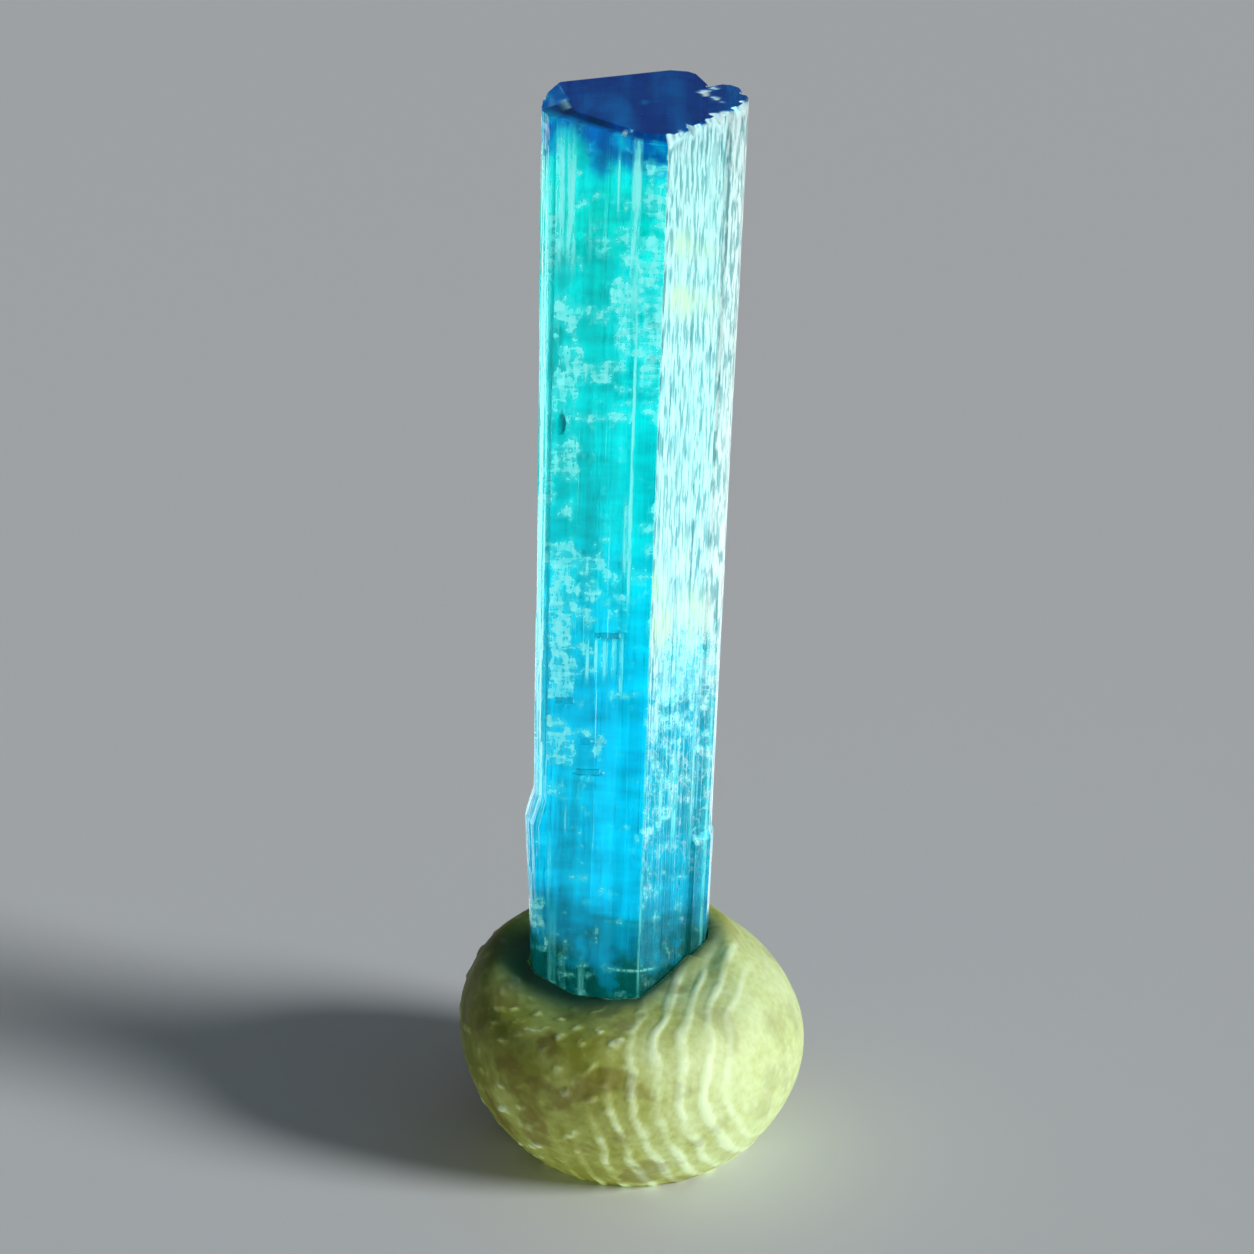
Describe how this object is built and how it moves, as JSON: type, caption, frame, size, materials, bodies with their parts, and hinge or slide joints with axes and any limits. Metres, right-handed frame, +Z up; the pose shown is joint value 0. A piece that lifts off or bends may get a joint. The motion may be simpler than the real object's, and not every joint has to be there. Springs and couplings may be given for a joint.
{
  "type": "blue tourmaline crystal in a ball of mineral tack",
  "caption": "Upright striated blue tourmaline prism with fused side crystals, held in a flat-footed ball of yellow-green mineral tack.",
  "frame": {"origin": "middle of the putty's flat foot", "axes": "+Z up along the height, -Y towards the edge between the crystal's two broadest faces, +X to that view's right"},
  "size_m": [0.0063, 0.0064, 0.0205],
  "materials": {
    "tourmaline": "clear turquoise to azure crystal with a deep blue end, finely striated along its length, with silky veils and small fractures",
    "mineral_tack": "yellow-green waxy putty with finger-ridge marks"
  },
  "bodies": {
    "root": {"crystal": "tourmaline", "putty": "mineral_tack"}
  },
  "joints": []
}
